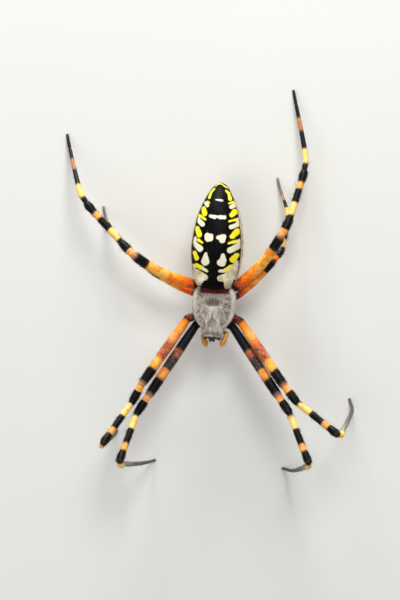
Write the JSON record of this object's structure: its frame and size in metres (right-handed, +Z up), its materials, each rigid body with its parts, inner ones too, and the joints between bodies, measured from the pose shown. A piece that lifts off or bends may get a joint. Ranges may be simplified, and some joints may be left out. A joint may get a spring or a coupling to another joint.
{
  "type": "orb weaver spider model",
  "caption": "Life-size still model of an adult female yellow garden spider, an orb weaver, standing with its legs spread; oval patterned abdomen, silvery carapace, banded legs.",
  "frame": {"origin": "on the floor under the middle of the box round the whole animal", "axes": "+Z up, -Y the way the head looks, +Y towards the tail, +X the animal's left"},
  "size_m": [0.043, 0.0544, 0.0133],
  "materials": {
    "carapace": "silver-grey hair lying flat over dark brown shell",
    "underside": "blackish brown, with a pale yellow stripe down the sternum",
    "abdomen": "black with yellow spots and cream patches, soft satin",
    "spinneret": "dark brown, short hair",
    "chelicera": "amber brown, smooth",
    "fang": "black-brown, polished",
    "palp": "orange yellow, bristly",
    "eye": "black, wet gloss",
    "coxa": "dark maroon to black",
    "femur": "orange with a black far end, satin",
    "patella": "black with an orange near end, satin",
    "tibia": "pale yellow and black bands, satin",
    "foot": "dark and yellow bands, short hair"
  },
  "bodies": {
    "root": {"carapace": "carapace", "sternum": "underside", "pedicel": "underside", "abdomen": "abdomen", "spinnerets": "spinneret", "chelicera_left": "chelicera", "fang_left": "fang", "palp_left": "palp", "chelicera_right": "chelicera", "fang_right": "fang", "palp_right": "palp", "eye_rear_median_left": "eye", "eye_rear_median_right": "eye", "eye_front_median_left": "eye", "eye_front_median_right": "eye", "eye_rear_lateral_left": "eye", "eye_rear_lateral_right": "eye", "eye_front_lateral_left": "eye", "eye_front_lateral_right": "eye", "leg_1_left_coxa": "coxa", "leg_1_left_femur": "femur", "leg_1_left_patella": "patella", "leg_1_left_tibia": "tibia", "leg_1_left_foot": "foot", "leg_1_right_coxa": "coxa", "leg_1_right_femur": "femur", "leg_1_right_patella": "patella", "leg_1_right_tibia": "tibia", "leg_1_right_foot": "foot", "leg_2_left_coxa": "coxa", "leg_2_left_femur": "femur", "leg_2_left_patella": "patella", "leg_2_left_tibia": "tibia", "leg_2_left_foot": "foot", "leg_2_right_coxa": "coxa", "leg_2_right_femur": "femur", "leg_2_right_patella": "patella", "leg_2_right_tibia": "tibia", "leg_2_right_foot": "foot", "leg_3_left_coxa": "coxa", "leg_3_left_femur": "femur", "leg_3_left_patella": "patella", "leg_3_left_tibia": "tibia", "leg_3_left_foot": "foot", "leg_3_right_coxa": "coxa", "leg_3_right_femur": "femur", "leg_3_right_patella": "patella", "leg_3_right_tibia": "tibia", "leg_3_right_foot": "foot", "leg_4_left_coxa": "coxa", "leg_4_left_femur": "femur", "leg_4_left_patella": "patella", "leg_4_left_tibia": "tibia", "leg_4_left_foot": "foot", "leg_4_right_coxa": "coxa", "leg_4_right_femur": "femur", "leg_4_right_patella": "patella", "leg_4_right_tibia": "tibia", "leg_4_right_foot": "foot"}
  },
  "joints": []
}
